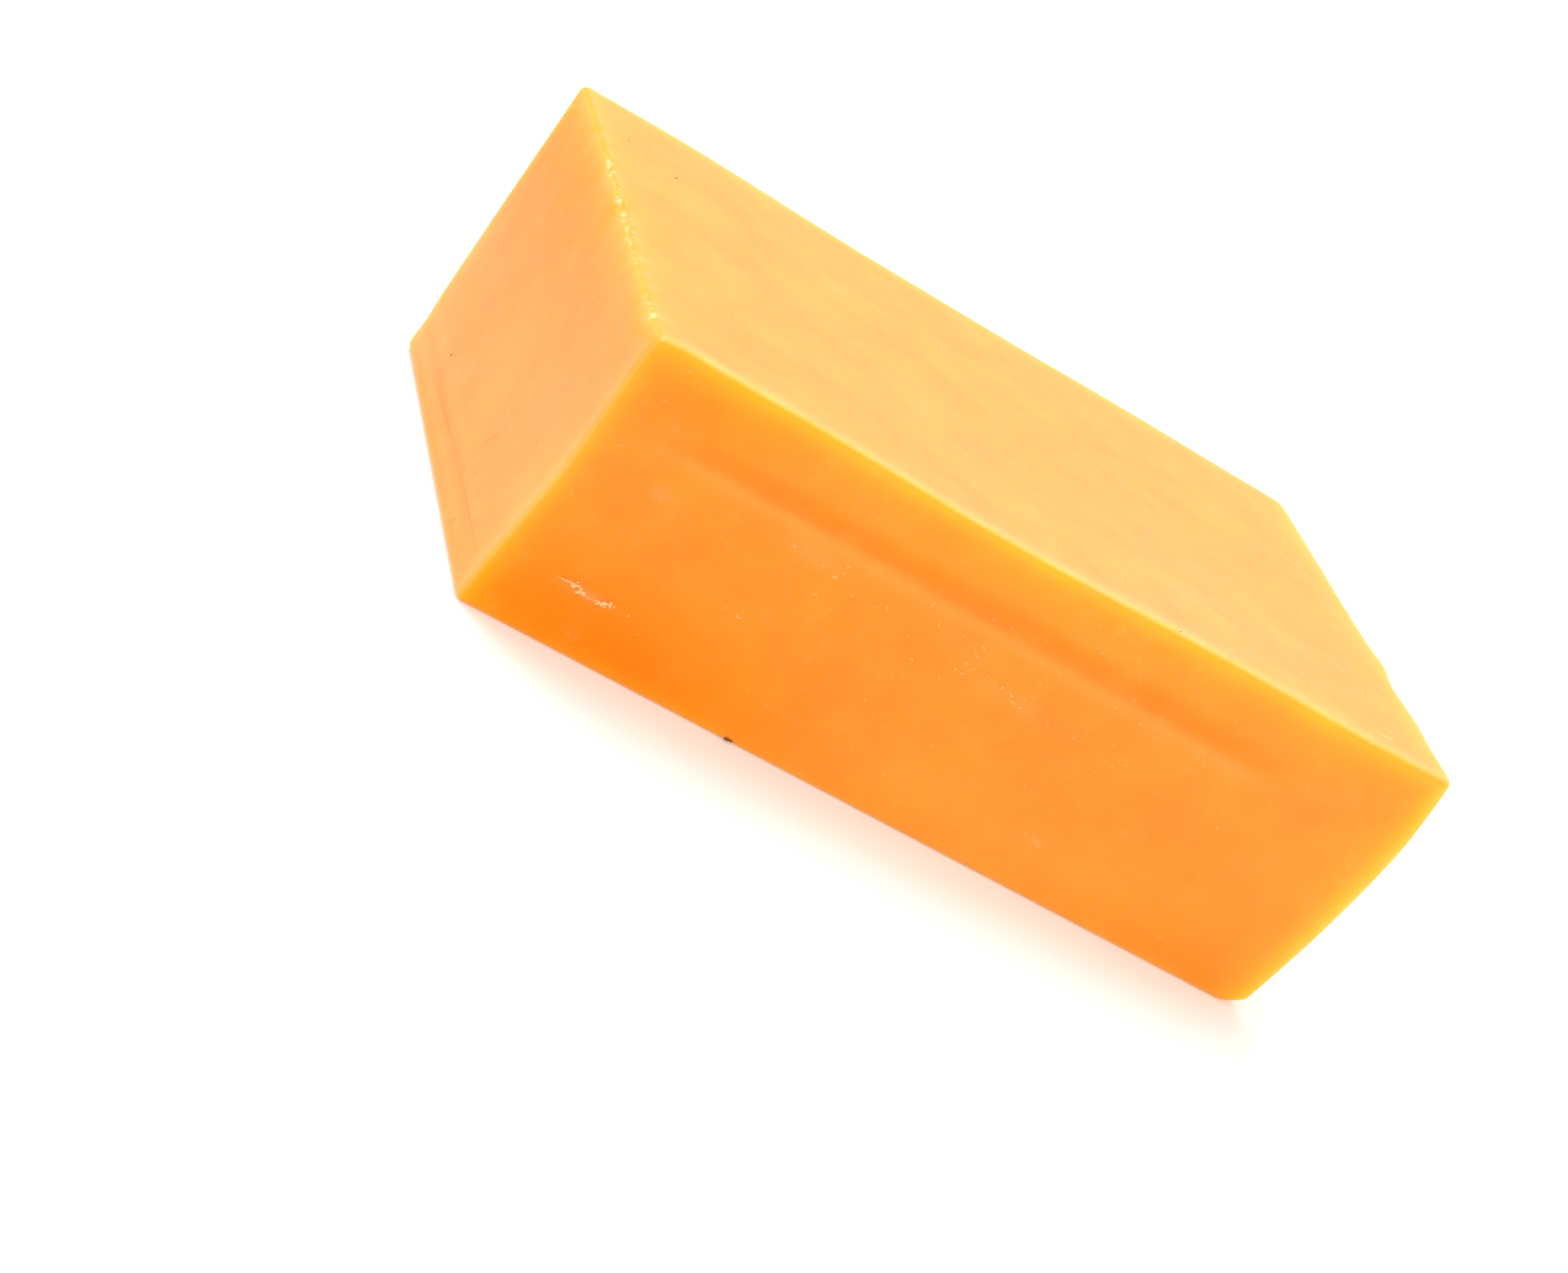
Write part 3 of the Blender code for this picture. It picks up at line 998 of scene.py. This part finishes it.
def torn_bit(draw, place_mm, length, flatness, sunk):
    """One uneven bit seated on the nearest point of the block's surface."""
    seat, facing = surface.find_nearest(Vector(on_frame(np.array(place_mm) / 1000)))[:2]
    bend = Vector([draw.uniform(-BIT_VARIETY, BIT_VARIETY) for _ in range(3)])
    waves = [noise.noise(Vector(point) * BIT_WAVES + bend) for point in blob_points]
    swell = 1.0 + BIT_SWELL * np.array(waves)
    sides = np.array((length, length * draw.uniform(*BIT_WIDTHS), length * flatness))
    turn = facing.to_track_quat("Z", "Y").to_matrix()
    spin = Euler((0.0, 0.0, draw.uniform(0.0, 2 * math.pi))).to_matrix()
    shape = blob_points * swell[:, None] * sides
    raised = Vector(seat) + facing * length * flatness * (0.5 - sunk)
    return shape @ np.array(turn @ spin).T + np.array(raised)


def joined(name, bits):
    """One mesh object from many bits of the same shape."""
    faces = np.concatenate([blob_faces + len(blob_points) * step for step in range(len(bits))])
    corners = np.clip(np.concatenate(bits), box_low, box_high)
    mesh = bpy.data.meshes.new(name)
    mesh.from_pydata(corners.tolist(), [], faces.tolist())
    mesh.shade_smooth()
    piece = bpy.data.objects.new(name, mesh)
    bpy.context.scene.collection.objects.link(piece)
    return piece


draw = random.Random(CRUMB_SEED)
bits = []
for groups, sizes, sunk in (
    (CLUMP_GROUPS, CLUMP_SIZES_MM, CLUMP_SUNK),
    (CRUMB_GROUPS, CRUMB_SIZES_MM, CRUMB_SUNK),
):
    for middle, spread, count in groups:
        for _ in range(count):
            size = draw.uniform(*sizes) / 1000
            seat_mm = scattered(draw, middle, spread)
            bits.append(torn_bit(draw, seat_mm, size, CRUMB_FLATNESS, sunk))
crumbs = joined("dried_crumbs", bits)

# Dried crumbs of firm cheese: matt, cream, and too small to let much light through
CRUMB_TAN = "#E0B070"
CRUMB_CREAM = "#EAC890"
CRUMB_ROUGHNESS = 0.6
crumb_cheese = bpy.data.materials.new("dried_cheese")
crumb_cheese.use_nodes = True
tree = crumb_cheese.node_tree
place = add_node(tree, "ShaderNodeTexCoord").outputs["Object"]
tint = add_node(
    tree, "ShaderNodeTexNoise", {"Scale": 1 / CURD_SIZE, "Detail": 1.0}, {"Vector": place}
)
crumb_colour = add_node(
    tree,
    "ShaderNodeMixRGB",
    {"Color1": linear(CRUMB_TAN), "Color2": linear(CRUMB_CREAM)},
    {"Fac": tint.outputs["Fac"]},
)
shader = tree.nodes["Principled BSDF"]
shader.inputs["Roughness"].default_value = CRUMB_ROUGHNESS
tree.links.new(crumb_colour.outputs["Color"], shader.inputs["Base Color"])
crumbs.data.materials.append(crumb_cheese)

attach(crumbs, "root")


# Rubbed flecks: shreds of the cheese's own surface that the wire and the wrapping rolled up.
# They are thin and moist, so they are nearly as orange as the face that they stick to.

FLECK_ORANGE = "#FFAC50"
FLECK_PALE = "#FFD494"
FLECK_ROUGHNESS = 0.5
FLECK_FLATNESS = 0.5
SCUFF_FLATNESS = 0.25
SCUFF_SPREAD = 0.5
SCUFF_STEP_MM = 0.11
# A scuff low on the front side: its path, with the thickness of the shred at each place
SCUFF_PATH_MM = (
    (6.9, 7.7, 0.10), (8.0, 7.85, 0.18), (9.0, 7.85, 0.34), (9.6, 7.5, 0.46),
    (10.2, 7.3, 0.20), (11.3, 7.3, 0.12), (12.0, 7.35, 0.30), (12.5, 7.25, 0.42),
    (13.0, 7.5, 0.18), (13.4, 7.7, 0.32), (13.6, 7.95, 0.26),
)

starts = list(SINGLE_FLECKS)
for middle, spread, count in FLECK_GROUPS:
    starts += [scattered(draw, middle, spread) for _ in range(count)]
shreds = []
for start in starts:
    size = draw.uniform(*FLECK_SIZES_MM) / 1000
    for place_mm in chain(draw, start):
        shreds.append(torn_bit(draw, place_mm, size, FLECK_FLATNESS, CRUMB_SUNK))
for scuff_start, scuff_end in zip(SCUFF_PATH_MM, SCUFF_PATH_MM[1:]):
    along, up, wide = scuff_start
    next_along, next_up, next_wide = scuff_end
    steps = math.ceil(math.hypot(next_along - along, next_up - up) / SCUFF_STEP_MM)
    for share in np.linspace(0.0, 1.0, steps, endpoint=False):
        size = wide + (next_wide - wide) * share
        middle = on_front(along + (next_along - along) * share, up + (next_up - up) * share)
        drift = scattered(draw, middle, (SCUFF_SPREAD * size, 0.0, SCUFF_SPREAD * size))
        shreds.append(torn_bit(draw, drift, size / 1000, SCUFF_FLATNESS, CRUMB_SUNK))
flecks = joined("rubbed_flecks", shreds)

rubbed = bpy.data.materials.new("rubbed_cheese")
rubbed.use_nodes = True
tree = rubbed.node_tree
place = add_node(tree, "ShaderNodeTexCoord").outputs["Object"]
tint = add_node(
    tree, "ShaderNodeTexNoise", {"Scale": 1 / CURD_SIZE, "Detail": 1.0}, {"Vector": place}
)
fleck_colour = add_node(
    tree,
    "ShaderNodeMixRGB",
    {"Color1": linear(FLECK_ORANGE), "Color2": linear(FLECK_PALE)},
    {"Fac": tint.outputs["Fac"]},
)
shader = tree.nodes["Principled BSDF"]
shader.inputs["Roughness"].default_value = FLECK_ROUGHNESS
tree.links.new(fleck_colour.outputs["Color"], shader.inputs["Base Color"])
flecks.data.materials.append(rubbed)

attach(flecks, "root")


# Brown specks: a scorched bit of crust at the bottom edge and dust-fine specks on top.
# They were picked up when the block was cut, and only lie in the surface.

CRUST_DARK = "#5A2410"
CRUST_BROWN = "#A8602C"
CRUST_ROUGHNESS = 0.7
SPECK_FLATNESS = 0.5
SPECKS_MM = (
    ((32.5, 0.0, 0.35), 0.75),
    ((33.0, 0.0, 0.30), 0.45),
    (on_top(9.7, 46.4), 0.30),
    (on_top(12.3, 42.4), 0.16),
    (on_top(4.2, 50.0), 0.20),
    (on_top(4.8, 41.5), 0.12),
    (on_top(63.0, -6.0), 0.22),
    (on_left(46.2, 6.8), 0.25),
)
browned = [
    torn_bit(draw, place_mm, size / 1000, SPECK_FLATNESS, CRUMB_SUNK)
    for place_mm, size in SPECKS_MM
]
specks = joined("brown_specks", browned)
crust = bpy.data.materials.new("browned_crust")
crust.use_nodes = True
tree = crust.node_tree
place = add_node(tree, "ShaderNodeTexCoord").outputs["Object"]
scorch = add_node(
    tree, "ShaderNodeTexNoise", {"Scale": 1 / PORE_SIZE, "Detail": 1.0}, {"Vector": place}
)
crust_colour = add_node(
    tree,
    "ShaderNodeMixRGB",
    {"Color1": linear(CRUST_DARK), "Color2": linear(CRUST_BROWN)},
    {"Fac": scorch.outputs["Fac"]},
)
shader = tree.nodes["Principled BSDF"]
shader.inputs["Roughness"].default_value = CRUST_ROUGHNESS
tree.links.new(crust_colour.outputs["Color"], shader.inputs["Base Color"])
specks.data.materials.append(crust)

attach(specks, "root")


# The floor: opal acrylic sheet, matt and lit faintly from below as on a light table, so that
# the shadow beside the block stays pale. It is wide enough to fill the view.

FLOOR_SIDE = 60.0
OPAL_WHITE = "#E2E2E2"
WARM_WHITE = "#FFF1E2"
FLOOR_GLOW = 0.27
FLOOR_ROUGHNESS = 0.9

bpy.ops.mesh.primitive_plane_add(size=FLOOR_SIDE)
floor = bpy.context.object
floor.name = "floor"
acrylic = bpy.data.materials.new("opal_acrylic")
acrylic.use_nodes = True
shader = acrylic.node_tree.nodes["Principled BSDF"]
shader.inputs["Base Color"].default_value = linear(OPAL_WHITE)
shader.inputs["Roughness"].default_value = FLOOR_ROUGHNESS
shader.inputs["Emission Color"].default_value = linear(WARM_WHITE)
shader.inputs["Emission Strength"].default_value = FLOOR_GLOW
floor.data.materials.append(acrylic)


# The light: a white room and three soft boxes. One hangs above and to the left, one stands
# low behind, whose reflection gives the top face its pale sheen, and one low in front.

ROOM_WHITE = "#FFFFFF"
ROOM_STRENGTH = 1.0
# Each soft box as (location, side, watts); all face the block
SOFT_BOXES = {
    "overhead_box": ((-0.15, 0.25, 0.90), 0.8, 7.6),
    "back_box": ((0.40, 0.90, 0.42), 1.0, 1.2),
    "front_box": ((-0.35, -0.90, 0.25), 0.6, 0.8),
}

world = bpy.data.worlds.new("white_room")
bpy.context.scene.world = world
world.use_nodes = True
background = world.node_tree.nodes["Background"]
background.inputs["Color"].default_value = linear(ROOM_WHITE)
background.inputs["Strength"].default_value = ROOM_STRENGTH

for name, (location, side, watts) in SOFT_BOXES.items():
    box_data = bpy.data.lights.new(name, "AREA")
    box_data.size = side
    box_data.energy = watts
    box = bpy.data.objects.new(name, box_data)
    box.location = location
    box.rotation_euler = box.location.to_track_quat("Z", "Y").to_euler()
    bpy.context.scene.collection.objects.link(box)

bpy.context.scene.view_settings.view_transform = "Standard"
bpy.context.scene.cycles.use_denoising = True
